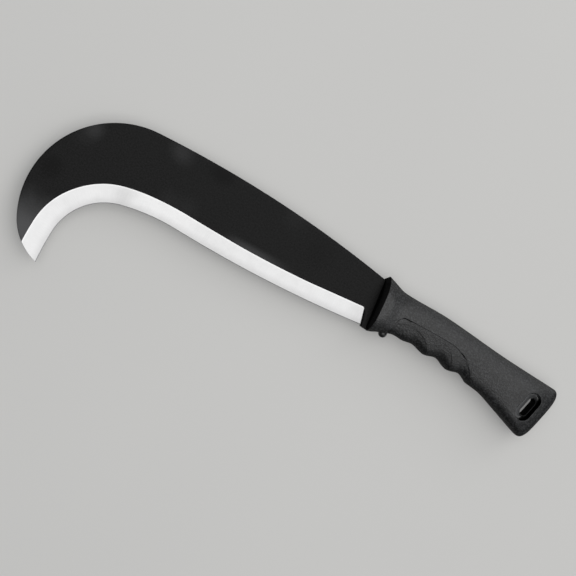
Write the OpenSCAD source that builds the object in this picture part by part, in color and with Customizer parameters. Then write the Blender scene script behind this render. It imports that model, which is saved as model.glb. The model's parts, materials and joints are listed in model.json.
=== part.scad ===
// Hooked hand sickle of the billhook kind, lying on its side. A ground steel blade carries on as a
// tang, and a hard handle, a soft finger grip and a lanyard sleeve are moulded and set round it.
// The origin is the middle of the guard's lower side flat. +X runs to the butt, +Y to the back of
// the blade, and +Z is up. The blade lies in the middle plane of the handle.

/* [Blade] */
// Thickness of the steel
blade_t = 3; // [2.4:0.1:3.6]
// Length of the long shallow arc of the back, from the guard to the crown
reach = 187.5; // [176:0.5:200]
// Radius of that shallow arc
back_r = 844; // [700:1:1200]
// Radius of the round crown over the hook
crown_r = 67.2; // [65:0.1:70]
// Angle that the crown turns through
crown_turn = 112.7; // [108:0.1:116]
// Radius of the nose, from the crown to the point
nose_r = 40.9; // [38:0.1:45]
// Height of the blade where it enters the guard
root_h = 37; // [34:0.5:38]

/* [Cutting edge] */
// Radius of the hollow where the edge bends into the hook
throat_r = 41.6; // [39:0.1:45]
// Angle that the throat turns through
throat_turn = 73.9; // [71:0.1:77]
// Width of the ground bevel at the heel
bevel_w = 12.6; // [9:0.2:15]
// Extra width of the bevel at the point
bevel_grow = 2; // [0:0.2:4]
// Thickness left along the sharpened edge
edge_t = 0.3; // [0.2:0.1:0.8]
// Steel left unground between the edge and the guard
ricasso = 4; // [3:0.5:8]

/* [Tang] */
// Height of the tang along the grip
tang_h = 15; // [11:0.5:16]
// Steel left round the lanyard sleeve at the end of the tang
eye_wall = 4.5; // [3:0.5:6]
// Diameter of the holes that the moulding flows through
lock_d = 7; // [4:0.5:9]
// Distance between those holes
lock_pitch = 33; // [24:1:34]

/* [Handle] */
// Length from the guard's rim to the end of the butt
handle_len = 144.7; // [142:0.1:152]
// Height of the guard's rim
guard_h = 41.8; // [40:0.1:43]
// Height of the grip over the finger ridges
grip_h = 29.8; // [29:0.2:32]
// Height of the butt
butt_h = 42; // [40:0.2:44]
// Thickness across the two side flats
flat_t = 26; // [25:0.5:27]
// Thickness of the guard before its side flats
guard_t = 28.4; // [27.6:0.2:29.6]
// Thickness of the neck behind the guard
neck_t = 21; // [19:0.5:23]
// Thickness of the palm swell
palm_t = 24.6; // [22:0.2:25]
// Thickness of the butt before its side flats
butt_t = 27.4; // [27:0.2:29]
// How far the back of the grip swells into the palm
back_swell = 1.6; // [0:0.2:3]
// How far the guard's front face stands out from its rim
guard_chamfer = 3.4; // [1.5:0.1:3.8]
// How far the butt's rounded end stands out
butt_dome = 6.5; // [4:0.5:8]
// Radius of the small stop under the guard
stop_r = 3.1; // [2.4:0.1:3.6]

/* [Finger grip] */
// Distance between two finger hollows
finger_pitch = 20.7; // [19:0.1:22]
// Depth of the finger hollows
finger_deep = 2.3; // [1.2:0.1:3]
// Thickness of the soft grip over the hard core
grip_t = 1.8; // [1.2:0.1:2.4]
// Height of the seam's highest point above the tang's middle line
seam_top = 3.5; // [2:0.1:5]

/* [Lanyard hole] */
// Width of the hole through the sleeve
slot_w = 5.3; // [4.8:0.1:6]
// Distance between the centres of the hole's two round ends
slot_run = 9.1; // [7:0.1:11]
// Wall of the sleeve
sleeve_wall = 0.85; // [0.6:0.05:1.2]
// Length of the sleeve through the handle
sleeve_len = 12; // [10:0.5:14]
// Radius of the recess's round ends at the side of the handle
recess_r = 5.8; // [5.4:0.1:6.4]
// Radius of those ends on the recess's floor
recess_floor_r = 3.9; // [3.8:0.1:4.6]
// How far the recess opens towards the guard, which slopes that side of it
recess_shift = 1.9; // [0:0.1:2.4]

/* [Hidden] */
$fn = 64;
coating = "#232425";
hard_black = "#2e2f31";
soft_black = "#3a3b3d";
sleeve_black = "#4a4b4d";

// Middle plane of the blade above the surface that the side flats lie on
mid_z = flat_t / 2;
// Back of the grip, the line that the rest of the handle's height is measured from
back_y = 16;
// Where the back of the blade meets the guard, and its direction there
root = [-7.5, back_y];
root_heading = 173.9;
// Heel of the sharpened edge, its direction there and the lean of the bevel's end
heel = [-0.9 - ricasso, back_y - root_h + 1.1];
heel_heading = 190;
heel_lean = 10;
// The edge runs in four arcs: a long shallow one, the bend, the throat and the inside of the hook
edge_r = 945;
edge_len = reach - 41.6;
bend_r = 147;
bend_turn = 16;
hook_r = 235;
hook_turn = 14;
back_turn = reach / back_r * 180 / PI;
edge_turn = edge_len / edge_r * 180 / PI;
// The nose arc runs on past the point, and the edge cuts it off there
nose_turn = 110;
// How far the grinding reaches past the edge and past the shoulder of the bevel
grind_out = 2.6;

// Tang
tang_y = 0.5;
tang_x = 4;
lock_x = 24;
// Lanyard hole: its middle, the lean of its long axis, and how much longer the recess runs
slot_at = [handle_len - 15.7, -4.5];
slot_lean = 9;
recess_more = 1.4;
sleeve_r = slot_w / 2 + sleeve_wall;
eye_r = sleeve_r + eye_wall;

// Handle: its two ends, and the lean of its cross sections from the guard to the butt
rim_x = -0.8;
butt_x = handle_len + rim_x;
dome_x = butt_x - butt_dome;
rim_lean = -0.185;
butt_lean = 0.16;
// The rim also bows forward away from its middle
rim_bow = 0.0033;
// Fullness of the oval cross section: 2 is an ellipse, more is squarer
fullness = 2.4;
// Middle of the stop under the guard
stop_at = [12.2, back_y - grip_h - 2.8];
// Front and rear stations of the finger grip, and the first finger hollow
panel_x0 = 11.8;
panel_x1 = 86;
finger_x = 22.5;
ring_upper = 25;
ring_lower = 19;
seam_gap = 0.4;

// Curved outlines are chains of tangent arcs, each given as [radius, turn], turn positive to the left
function arc_end(p, h, a) =
    let (s = a[1] < 0 ? -1 : 1)
    [p[0] + s * a[0] * (sin(h + a[1]) - sin(h)), p[1] - s * a[0] * (cos(h + a[1]) - cos(h))];
function arc_steps(a) = max(ceil(abs(a[1]) / 4), ceil(a[0] * abs(a[1]) * PI / 180 / 9));
// Points of a chain as [x, y, heading]
function chain(p, h, arcs, i = 0) =
    i >= len(arcs) ? [[p[0], p[1], h]] :
    let (a = arcs[i], n = arc_steps(a))
    concat(
        [for (k = [0:n - 1]) let (q = arc_end(p, h, [a[0], a[1] * k / n])) [q[0], q[1], h + a[1] * k / n]],
        chain(arc_end(p, h, a), h + a[1], arcs, i + 1));
function flat_points(c) = [for (q = c) [q[0], q[1]]];

back_line = chain(root, root_heading, [[back_r, back_turn], [crown_r, crown_turn], [nose_r, nose_turn]]);
edge_line = chain(heel, heel_heading,
    [[edge_r, -edge_turn], [bend_r, bend_turn], [throat_r, throat_turn], [hook_r, hook_turn]]);

// Smooth curve through a few knots [x, value]
function knot(k, x, i = 0) = i >= len(k) - 2 || x < k[i + 1][0] ? i : knot(k, x, i + 1);
function slope(k, i) =
    let (a = max(i - 1, 0), b = min(i + 1, len(k) - 1))
    (k[b][1] - k[a][1]) / (k[b][0] - k[a][0]);
function curve(k, x) =
    let (i = knot(k, x), w = k[i + 1][0] - k[i][0], t = (x - k[i][0]) / w)
    k[i][1] * (1 + 2 * t) * (1 - t) * (1 - t) + k[i + 1][1] * t * t * (3 - 2 * t)
    + w * slope(k, i) * t * (1 - t) * (1 - t) - w * slope(k, i + 1) * t * t * (1 - t);

// Side profile of the handle: the back, the belly over the ridges, and the finger hollows in it
guard_top = back_y + 4.4;
belly_y = back_y - grip_h;
back_knots = [[rim_x - 4, guard_top + 0.9], [3, back_y + 2.7], [13, back_y + 0.1], [47, back_y + back_swell],
    [95, back_y + 0.2], [butt_x, back_y + 0.6]];
belly_knots = [[rim_x, guard_top - guard_h], [2, belly_y - 6.3], [6, belly_y - 4],
    [13.5, belly_y - 0.9], [20, belly_y], [33, belly_y - 0.8], [43, belly_y + 0.1], [64, belly_y - 0.1],
    [85, belly_y - 0.8], [96, belly_y - 1.6], [108, belly_y - 4.5],
    [butt_x - 8, back_y + 0.4 - butt_h], [butt_x, back_y - 1.4 - butt_h]];
side_knots = [[rim_x, guard_t / 2], [4.5, guard_t / 2 - 0.9], [15, neck_t / 2], [54, palm_t / 2],
    [92, palm_t / 2 - 0.6], [122, butt_t / 2], [butt_x, butt_t / 2]];
seam_knots = [[panel_x0, -8], [12.7, -2.5], [14.1, -0.1], [20, 1.1], [33, seam_top - 1.3], [57, seam_top],
    [64, seam_top - 1.4], [69, 0.3], [73.5, -1.9], [77.4, -5.6], [82, -10.5], [panel_x1, -13.5]];
function lean(x) = rim_lean + (butt_lean - rim_lean) * (x - rim_x) / handle_len;
function bow(x, y) =
    rim_bow * pow(y - 5, 2) * max(0, 1 - (x < rim_x ? (rim_x - x) / guard_chamfer : (x - rim_x) / 12));
function hollow(x) =
    x < finger_x || x > finger_x + 3 * finger_pitch ? 0 :
    finger_deep * (1 - cos(360 * (x - finger_x) / finger_pitch)) / 2;

// One point of the cross section at station x, at angle a from the back, inset from the surface
function skin(x, a, inset = 0) =
    let (
        top = curve(back_knots, x), base = curve(belly_knots, x), mid = (top + base) / 2,
        low = mid - base - hollow(x), c = cos(a), s = sin(a),
        pinch = hollow(x) * max(0, -c) / 2,
        reach_y = (c > 0 ? top - mid : low) - inset,
        y = mid + reach_y * sign(c) * pow(abs(c), 2 / fullness),
        z = (curve(side_knots, x) - pinch - inset) * sign(s) * pow(abs(s), 2 / fullness))
    [x + lean(x) * y - bow(x, y), y, max(-flat_t / 2, min(flat_t / 2, z))];

// Angle of the seam at station x. Ahead of the grip and behind it the angle only spaces the points
function seam_angle(x) =
    x < panel_x0 ? let (t = (x - rim_x) / (panel_x0 - rim_x)) 100 * (1 - t) + seam_angle(panel_x0) * t :
    x > panel_x1 ? let (t = min(1, (x - panel_x1) / 20)) 100 * t + seam_angle(panel_x1) * (1 - t) :
    let (
        top = curve(back_knots, x), base = curve(belly_knots, x), mid = (top + base) / 2,
        y = curve(seam_knots, x) - mid,
        share = y > 0 ? y / (top - mid) : -y / (mid - base - hollow(x)),
        a = acos(pow(min(1, share), fullness / 2)))
    y > 0 ? a : 180 - a;
function spread(a, b, n) = [for (k = [0:n - 1]) a + (b - a) * k / (n - 1)];

// Ring of the hard body: the back over the seam, then the belly, which may lie under the soft grip
function body_ring(x, inset, under) =
    let (a = seam_angle(x))
    concat(
        [for (w = spread(seam_gap - a, a - seam_gap, ring_upper)) skin(x, w, inset)],
        [for (w = spread(a + seam_gap, 360 - a - seam_gap, ring_lower)) skin(x, w, inset + under)]);
// Ring of the soft grip: its outer face, then its inner face on the core
function grip_ring(x) =
    let (a = seam_angle(x))
    concat(
        [for (w = spread(a - seam_gap, 360 - a + seam_gap, ring_lower)) skin(x, w)],
        [for (w = spread(360 - a - seam_gap, a + seam_gap, ring_lower)) skin(x, w, grip_t)]);

// Closed solid through a list of rings. Every ring has the same even number of points, and its last
// point lies beside its first, so that the two ends are closed by quads from one side to the other
module loft(rings) {
    m = len(rings[0]);
    last = (len(rings) - 1) * m;
    sides = [for (i = [0:len(rings) - 2], j = [0:m - 1])
        let (a = i * m + j, b = i * m + (j + 1) % m)
        each [[a, a + m, b + m], [a, b + m, b]]];
    ends = [for (j = [0:m / 2 - 2])
        let (a = j, b = j + 1, c = m - 2 - j, d = m - 1 - j)
        each [[a, b, c], [a, c, d], [last + c, last + b, last + a], [last + d, last + c, last + a]]];
    polyhedron([for (r = rings) each r], concat(sides, ends));
}

// Stations of the handle as [x, inset, thickness given up to the soft grip]
panel_stations = [for (k = [0:33]) panel_x0 + (panel_x1 - panel_x0) * k / 33];
front_stations = [[rim_x - guard_chamfer, 3.9, 0], [rim_x - guard_chamfer * 0.55, 1.7, 0], [rim_x, 0, 0],
    [1, 0, 0], [4, 0, 0], [7, 0, 0], [10, 0, 0], [panel_x0 - 0.02, 0, 0]];
butt_start = panel_x1 + 0.02;
rear_stations = [for (k = [0:13]) [butt_start + (dome_x - butt_start) * k / 13, 0, 0]];
dome_stations = [for (k = [1:6]) let (t = 15 * k)
    [dome_x + butt_dome * pow(sin(t), 0.9), 12 * (1 - pow(cos(t), 0.9)), 0]];
stations = concat(front_stations, [for (x = panel_stations) [x, 0, grip_t]], rear_stations, dome_stations);

// Stadium standing on its long axis, which leans with the butt
module stadium(r, run = slot_run) {
    translate(slot_at) rotate(-slot_lean) {
        square([2 * r, run], center = true);
        for (s = [-1, 1]) translate([0, s * run / 2]) circle(r);
    }
}

// Outline of the steel: the blank inside the back, less the throat, with the tang and its holes.
// Along the edge it stands out a little, and the grinding takes that away
module steel_outline() {
    tang_top = tang_y + tang_h / 2;
    root_y = back_y - root_h;
    blank = concat([[tang_x, tang_top], [-4, back_y - 1]], flat_points(back_line), [[tang_x - 2, -160]]);
    throat = concat(
        [for (i = [1:len(edge_line) - 1]) edge_point(i, -grind_out / 2, 0)],
        [[60, -220], [60, root_y], [heel[0] - 1.5, root_y]]);
    difference() {
        union() {
            difference() {
                polygon(blank);
                polygon([for (p = throat) [p[0], p[1]]]);
            }
            translate([0, tang_y - tang_h / 2]) square([slot_at[0], tang_h]);
            stadium(eye_r);
        }
        stadium(sleeve_r);
        for (k = [0:2]) translate([lock_x + k * lock_pitch, tang_y]) circle(d = lock_d);
    }
}

module steel_plate() {
    linear_extrude(blade_t, center = true) steel_outline();
}

// Point beside the edge: at its station i, so far in from the edge, at height z. The first stations
// lean, so that the bevel ends parallel to the guard
function edge_point(i, inward, z) =
    let (q = edge_line[i], dir = q[2] - 90 + heel_lean * max(0, 1 - i / 3))
    [q[0] + inward * cos(dir), q[1] + inward * sin(dir), z];

// What the grinding takes from both faces: all the steel outside a wedge that narrows to the edge
module grind() {
    n = len(edge_line) - 1;
    rings = [for (i = [0:n])
        let (
            t = max(0, i / (n - 3) - 0.7) / 0.3, w = bevel_w + bevel_grow * pow(min(1, t), 1.5),
            rise = (blade_t - edge_t) / 2 / w, deep = w + grind_out, high = blade_t / 2 + rise * grind_out)
        [
            edge_point(i, -grind_out, -high), edge_point(i, -grind_out, high), edge_point(i, deep, high),
            edge_point(i, 0, edge_t / 2), edge_point(i, 0, -edge_t / 2), edge_point(i, deep, -high)
        ]];
    loft(rings);
}

module blade() {
    color(coating) translate([0, 0, mid_z]) difference() {
        steel_plate();
        grind();
    }
}

// Outline of the lanyard recess: share 0 is its floor and 1 is the side of the handle
function recess_ring(share) =
    let (
        r = recess_floor_r + (recess_r - recess_floor_r) * share, half = (slot_run + recess_more * share) / 2,
        floor_z = sleeve_len / 2 - 0.5, z = floor_z + (flat_t / 2 - floor_z) * share)
    [for (k = [0:47]) let (a = 7.5 * (k + 0.5))
        [-recess_shift * share - r * sin(a), r * cos(a) + sign(cos(a)) * half, z]];
// Lanyard recess on one side, from its floor out past the side of the handle
module recess() {
    translate([slot_at[0], slot_at[1], 0]) rotate(-slot_lean) loft([recess_ring(0), recess_ring(1.2)]);
}

module handle_body() {
    color(hard_black) translate([0, 0, mid_z]) difference() {
        union() {
            loft([for (s = stations) body_ring(s[0], s[1], s[2])]);
            translate([stop_at[0], stop_at[1], 0]) sphere(stop_r);
        }
        steel_plate();
        linear_extrude(sleeve_len, center = true) stadium(sleeve_r);
        recess();
        mirror([0, 0, 1]) recess();
    }
}

module finger_grip() {
    color(soft_black) translate([0, 0, mid_z]) loft([for (x = panel_stations) grip_ring(x)]);
}

module lanyard_sleeve() {
    color(sleeve_black) translate([0, 0, mid_z]) linear_extrude(sleeve_len, center = true) difference() {
        stadium(sleeve_r);
        stadium(slot_w / 2);
    }
}

blade();
handle_body();
finger_grip();
lanyard_sleeve();
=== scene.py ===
"""Hooked hand sickle: coated blade with a ground bevel, moulded handle, soft finger grip, lanyard sleeve.

Laid out as an add-on and run as a script. Shapes are worked out in millimetres in the model's frame (+X to
the butt, +Y to the back of the blade, +Z up, origin under the guard) and written into meshes in metres.
"""
import json
from types import SimpleNamespace

import bmesh
import bpy
import numpy as np
from bpy.props import FloatProperty, FloatVectorProperty, PointerProperty
from bpy.types import Operator, Panel, PropertyGroup
from mathutils import Matrix, Vector

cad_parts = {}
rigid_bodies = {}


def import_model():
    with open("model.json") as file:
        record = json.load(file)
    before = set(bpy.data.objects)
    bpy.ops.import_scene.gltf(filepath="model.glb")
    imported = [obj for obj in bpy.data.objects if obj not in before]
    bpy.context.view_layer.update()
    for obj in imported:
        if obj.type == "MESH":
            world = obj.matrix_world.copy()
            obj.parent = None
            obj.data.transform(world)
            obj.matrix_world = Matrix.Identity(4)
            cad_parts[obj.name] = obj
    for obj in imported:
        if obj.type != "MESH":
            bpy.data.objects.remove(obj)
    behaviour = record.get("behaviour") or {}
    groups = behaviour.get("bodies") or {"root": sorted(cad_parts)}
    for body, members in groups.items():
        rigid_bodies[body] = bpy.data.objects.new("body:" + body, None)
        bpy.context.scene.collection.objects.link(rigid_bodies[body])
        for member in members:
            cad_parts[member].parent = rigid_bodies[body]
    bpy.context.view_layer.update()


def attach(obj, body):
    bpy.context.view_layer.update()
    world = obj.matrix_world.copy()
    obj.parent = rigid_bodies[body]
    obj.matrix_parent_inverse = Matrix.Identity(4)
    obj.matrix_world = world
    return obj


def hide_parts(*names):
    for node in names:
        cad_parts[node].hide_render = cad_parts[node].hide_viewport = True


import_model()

bl_info = {
    "name": "Hooked Hand Sickle",
    "version": (1, 0, 0),
    "blender": (4, 5, 0),
    "location": "3D View > Sidebar > Sickle",
    "description": "Builds the blade, handle, finger grip and lanyard sleeve of a hooked hand sickle",
    "category": "Object",
}

MM = 0.001


def length(name, description, millimetres):
    """A length property in metres, given here in millimetres."""
    return FloatProperty(name=name, description=description, default=millimetres * MM, unit="LENGTH",
                         precision=5)


def angle(name, description, degrees):
    """An angle property in radians, given here in degrees."""
    return FloatProperty(name=name, description=description, default=float(np.radians(degrees)),
                         unit="ROTATION")


def colour(name, description, value):
    """A linear colour property."""
    return FloatVectorProperty(name=name, description=description, default=value, subtype="COLOR", min=0,
                               max=1)


def plain(name, description, value):
    """A number without a unit."""
    return FloatProperty(name=name, description=description, default=value)


class BladeSizes(PropertyGroup):
    """Sizes of the steel blade and of its ground bevel."""

    thickness: length("Thickness", "Thickness of the steel", 3.0)
    back_reach: length("Back reach", "Length of the shallow arc of the back", 187.5)
    back_radius: length("Back radius", "Radius of the shallow arc of the back", 844.0)
    crown_radius: length("Crown radius", "Radius of the round crown over the hook", 67.2)
    crown_turn: angle("Crown turn", "Angle that the crown turns through", 112.7)
    nose_radius: length("Nose radius", "Radius of the nose, from the crown to the point", 40.9)
    edge_radius: length("Edge radius", "Radius of the long shallow arc of the edge", 945.0)
    edge_reach: length("Edge reach", "Length of that shallow arc", 145.9)
    bend_radius: length("Bend radius", "Radius of the bend before the throat", 147.0)
    bend_turn: angle("Bend turn", "Angle that the bend turns through", 16.0)
    throat_radius: length("Throat radius", "Radius of the hollow where the edge bends into the hook", 41.6)
    throat_turn: angle("Throat turn", "Angle that the throat turns through", 73.9)
    hook_radius: length("Hook radius", "Radius of the inside of the hook", 235.0)
    bevel_width: length("Bevel width", "Width of the ground bevel at the heel", 12.6)
    bevel_grow: length("Bevel growth", "Extra width of the bevel at the point", 2.0)
    edge_thickness: length("Edge thickness", "Thickness left along the sharpened edge", 0.3)
    rounding: length("Rounding", "Radius along the back and round the ricasso", 0.35)


class HandleSizes(PropertyGroup):
    """Sizes of the moulded handle."""

    length: length("Length", "From the guard's rim to the end of the butt", 144.7)
    guard_height: length("Guard height", "Height of the guard's rim", 41.8)
    grip_height: length("Grip height", "Height of the grip over the finger ridges", 29.8)
    butt_height: length("Butt height", "Height of the butt", 42.0)
    flat_thickness: length("Thickness over the flats", "Thickness across the two side flats", 26.0)
    guard_thickness: length("Guard thickness", "Thickness of the guard before its side flats", 28.4)
    neck_thickness: length("Neck thickness", "Thickness of the neck behind the guard", 21.0)
    palm_thickness: length("Palm thickness", "Thickness of the palm swell", 24.6)
    butt_thickness: length("Butt thickness", "Thickness of the butt before its side flats", 27.4)
    back_swell: length("Back swell", "How far the back swells into the palm", 1.6)
    butt_dome: length("Butt dome", "How far the butt's rounded end stands out", 6.5)
    stop_radius: length("Stop radius", "Radius of the small stop under the guard", 3.1)


class GripSizes(PropertyGroup):
    """Sizes of the soft finger grip."""

    finger_pitch: length("Finger pitch", "Distance between two finger hollows", 20.7)
    finger_depth: length("Finger depth", "Depth of the finger hollows", 2.3)
    thickness: length("Thickness", "Thickness of the soft grip over the hard core", 1.8)
    seam_top: length("Seam top", "Height of the seam's highest point above the tang's middle", 3.5)
    seam_width: length("Seam width", "Width of the groove at the seam", 0.07)
    front_width: length("Front groove width", "Width of the groove at the grip's front edge", 0.45)


class LanyardSizes(PropertyGroup):
    """Sizes of the lanyard hole, its sleeve and its recess."""

    slot_width: length("Slot width", "Width of the hole through the sleeve", 5.3)
    slot_run: length("Slot run", "Distance between the centres of the hole's round ends", 9.1)
    wall: length("Sleeve wall", "Wall of the sleeve", 0.85)
    sleeve_length: length("Sleeve length", "Length of the sleeve through the handle", 12.0)
    recess_radius: length("Recess radius", "Radius of the recess's round ends at the side of the handle", 6.0)
    floor_radius: length("Recess floor radius", "Radius of the round ends of the recess's floor", 4.4)
    recess_shift: length("Recess shift", "How far the recess's rim lies towards the guard", 1.6)
    recess_more: length("Recess length", "How much longer than the hole the recess's rim runs", 1.4)
    floor_shift: length("Recess floor shift", "How far the recess's floor lies towards the guard", 0.8)
    floor_more: length("Recess floor length", "How much longer than the hole the recess's floor runs", 3.1)


class Finishes(PropertyGroup):
    """Colours and strengths of the finishes, with the painted shade of the guard's face and the painted light
    of the sleeve's rims.
    """

    coating: colour("Blade coating", "Colour of the baked coating", (0.0046, 0.0046, 0.0047))
    bare_steel: colour("Ground steel", "Colour of the ground bevel", (0.56, 0.56, 0.565))
    hard_plastic: colour("Hard plastic", "Colour of the moulded handle", (0.011, 0.0112, 0.0118))
    soft_rubber: colour("Soft rubber", "Colour of the finger grip", (0.0105, 0.0107, 0.0112))
    # Painted shade: the guard's front face is darkened to near black
    guard_face: colour("Guard face shade", "Colour of the guard's front face", (0.0016, 0.0016, 0.0017))
    # Painted light: the sleeve's rims are lightened to this grey where they face the light
    sleeve_plastic: colour("Sleeve plastic, painted light", "Colour of the sleeve's rims", (0.09, 0.091, 0.093))
    floor: colour("Floor", "Colour of the floor", (0.56, 0.555, 0.54))
    grain_size: length("Grain size", "Size of the moulded grain", 1.15)


class Studio(PropertyGroup):
    """Camera and light."""

    lens: plain("Lens", "Focal length of the camera in millimetres", 85.0)
    distance: length("Camera distance", "Distance from the camera to the point that it looks at", 950.0)
    sky: plain("Sky", "Strength of the light from all round, on the dark side of the studio", 0.04)
    glow: plain("Glow", "Strength that the surroundings gain towards the key light", 0.5)
    overhead: plain("Overhead light", "Radiance of the softbox above", 1.5)
    key: plain("Key light", "Radiance of the softbox on the side of the blade's back", 1.8)
    floor_glow: plain("Floor glow", "How far the camera and reflections see the floor as plain white", 0.16)


class SickleSettings(PropertyGroup):
    """All the settings of the sickle."""

    blade: PointerProperty(type=BladeSizes)
    handle: PointerProperty(type=HandleSizes)
    grip: PointerProperty(type=GripSizes)
    lanyard: PointerProperty(type=LanyardSizes)
    finishes: PointerProperty(type=Finishes)
    studio: PointerProperty(type=Studio)


PARTS = ("blade", "handle", "grip", "lanyard", "finishes", "studio")


def in_mm(group):
    """The group's values as plain numbers, with its lengths in millimetres."""
    values = SimpleNamespace()
    for prop in group.bl_rna.properties:
        if prop.type == "FLOAT":
            value = getattr(group, prop.identifier)
            if prop.is_array:
                value = tuple(value)
            elif prop.unit == "LENGTH":
                value = value / MM
            setattr(values, prop.identifier, value)
    return values


def settings(context):
    """All the settings as plain numbers."""
    return SimpleNamespace(**{part: in_mm(getattr(context.scene.sickle, part)) for part in PARTS})


# Curves and meshes

def curve(knots, x):
    """Smooth curve through knots [x, value].

    Between two knots it is the cubic with the knots' values and slopes. A knot's slope is the rise of the
    value from the knot before to the knot after, over their distance.
    """
    k = np.asarray(knots, float)
    px, pv = k[:, 0], k[:, 1]
    index = np.arange(len(k))
    before, after = np.maximum(index - 1, 0), np.minimum(index + 1, len(k) - 1)
    slope = (pv[after] - pv[before]) / (px[after] - px[before])
    i = np.clip(np.searchsorted(px, x, side="right") - 1, 0, len(k) - 2)
    w = px[i + 1] - px[i]
    t = (x - px[i]) / w
    return (pv[i] * (1 + 2 * t) * (1 - t) ** 2 + pv[i + 1] * t * t * (3 - 2 * t)
            + w * slope[i] * t * (1 - t) ** 2 - w * slope[i + 1] * t * t * (1 - t))


def arc_move(radius, before, after):
    """Moves along arcs between two headings: the signed radius times the change of (sin, -cos)."""
    return radius[:, None] * np.stack([np.sin(after) - np.sin(before), np.cos(before) - np.cos(after)], 1)


def along_arcs(start, heading, arcs, s):
    """Points and headings at distances s along tangent arcs [radius, turn], turn positive to the left.

    In an arc the heading grows evenly with the distance.
    """
    radius, turn = np.array(arcs, float).T
    side = np.sign(turn)
    begins = np.concatenate([[0], np.cumsum(radius * np.abs(turn))])
    headings = heading + np.concatenate([[0], np.cumsum(turn)])
    hops = arc_move(side * radius, headings[:-1], headings[1:])
    corners = np.asarray(start, float) + np.concatenate([[[0, 0]], np.cumsum(hops, 0)])
    i = np.clip(np.searchsorted(begins, s, side="right") - 1, 0, len(radius) - 1)
    h = headings[i] + side[i] * (s - begins[i]) / radius[i]
    return corners[i] + arc_move((side * radius)[i], headings[i], h), h


def steps(*spans):
    """Stations through spans (from, to, count), each value once."""
    return np.unique(np.concatenate([np.linspace(a, b, n) for a, b, n in spans]).round(6))


def ring_quads(rows, columns):
    """Quads between closed rings of points, where point j of ring i is i * columns + j."""
    i = np.arange(rows - 1)[:, None]
    j = np.arange(columns)[None, :]
    a, b = i * columns + j, i * columns + (j + 1) % columns
    return np.stack([a, b, b + columns, a + columns], -1).reshape(-1, 4)


def both_halves(half, turn=lambda v: v):
    """Closed rings from their halves, which come back on the other side, turned by a function."""
    return np.concatenate([half, turn(half[:, -2:0:-1])], 1)


def clear(collection, name):
    """Remove what an earlier run made under this name."""
    if name in collection:
        collection.remove(collection[name])


def make_piece(name, points, quads=None, values=None):
    """A closed mesh object from points in millimetres and quads, or closed rings, with values on the points.

    Points that lie together are welded, quads that collapse become triangles or go, and faces turn outwards.
    """
    if quads is None:
        quads = ring_quads(*points.shape[:2])
    points = points.reshape(-1, 3)
    mesh = bpy.data.meshes.new(name)
    mesh.vertices.add(len(points))
    mesh.vertices.foreach_set("co", (points * MM).ravel())
    mesh.loops.add(quads.size)
    mesh.loops.foreach_set("vertex_index", quads.ravel().astype(np.int32))
    mesh.polygons.add(len(quads))
    mesh.polygons.foreach_set("loop_start", np.arange(0, quads.size, 4, dtype=np.int32))
    mesh.update(calc_edges=True)
    for key, value in (values or {}).items():
        layer = mesh.attributes.new(key, "FLOAT", "POINT")
        layer.data.foreach_set("value", np.asarray(value, np.float32).ravel())
    bm = bmesh.new()
    bm.from_mesh(mesh)
    bmesh.ops.remove_doubles(bm, verts=bm.verts, dist=0.004 * MM)
    bmesh.ops.dissolve_degenerate(bm, edges=bm.edges, dist=0.001 * MM)
    bmesh.ops.recalc_face_normals(bm, faces=bm.faces)
    bm.to_mesh(mesh)
    bm.free()
    mesh.polygons.foreach_set("use_smooth", np.ones(len(mesh.polygons), bool))
    mesh.update()
    clear(bpy.data.objects, name)
    piece = bpy.data.objects.new(name, mesh)
    bpy.context.scene.collection.objects.link(piece)
    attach(piece, "root")
    return piece


def paint_masked(mesh, keys):
    """Give material 1 to the faces whose points all have the first key's mask, 2 to the second's."""
    corners = np.zeros(len(mesh.loops), np.int32)
    mesh.loops.foreach_get("vertex_index", corners)
    starts = np.zeros(len(mesh.polygons), np.int32)
    mesh.polygons.foreach_get("loop_start", starts)
    index = np.zeros(len(mesh.polygons), np.int32)
    for number, key in enumerate(keys, 1):
        mask = np.zeros(len(mesh.vertices), np.float32)
        mesh.attributes[key].data.foreach_get("value", mask)
        index[np.minimum.reduceat(mask[corners], starts) > 0.5] = number
    mesh.polygons.foreach_set("material_index", index)
    mesh.update()


# Blade

HEEL = (-4.9, -19.9)
BACK_START = (-7.5, 16.0)
# Change of the bevel's width at distances along the edge, in millimetres
BEVEL_CHANGE = ((0, 0), (30, -0.02), (48, -0.17), (95, -0.17), (118, -0.03), (141, 0), (152, -0.08),
                (164, -0.06), (178, 0.12), (190, 0.18), (212, 0.36), (228, 0.78), (245, 0.95), (280, 0.95))


def blade_lines(b):
    """The back and the edge as chains of arcs, each as (start, heading, arcs)."""
    back = (BACK_START, np.radians(173.9), [
        (b.back_radius, b.back_reach / b.back_radius), (b.crown_radius, b.crown_turn),
        (b.nose_radius, np.radians(110))])
    edge = (HEEL, np.radians(190), [
        (b.edge_radius, -b.edge_reach / b.edge_radius), (b.bend_radius, b.bend_turn),
        (b.throat_radius, b.throat_turn), (b.hook_radius, np.radians(14))])
    return back, edge


def first_crossing(start, direction, line):
    """Distance along each ray from start to its first crossing with a fine polyline.

    Each span p to q of the line is solved against each ray: start + d * direction = p + t * (q - p), with t
    from 0 to 1.
    """
    p, e = line[:-1], np.diff(line, axis=0)
    det = direction[:, None, 1] * e[None, :, 0] - direction[:, None, 0] * e[None, :, 1]
    det = np.where(np.abs(det) < 1e-12, 1e-12, det)
    w = p[None] - start[:, None]
    d = (w[..., 1] * e[None, :, 0] - w[..., 0] * e[None, :, 1]) / det
    t = (direction[:, None, 0] * w[..., 1] - direction[:, None, 1] * w[..., 0]) / det
    hit = (t >= -1e-6) & (t <= 1 + 1e-6) & (d > -1e-6)
    return np.where(hit, d, np.inf).min(1)


def heading_vector(h):
    """Unit vectors at these headings."""
    return np.stack([np.cos(h), np.sin(h)], -1)


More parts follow.
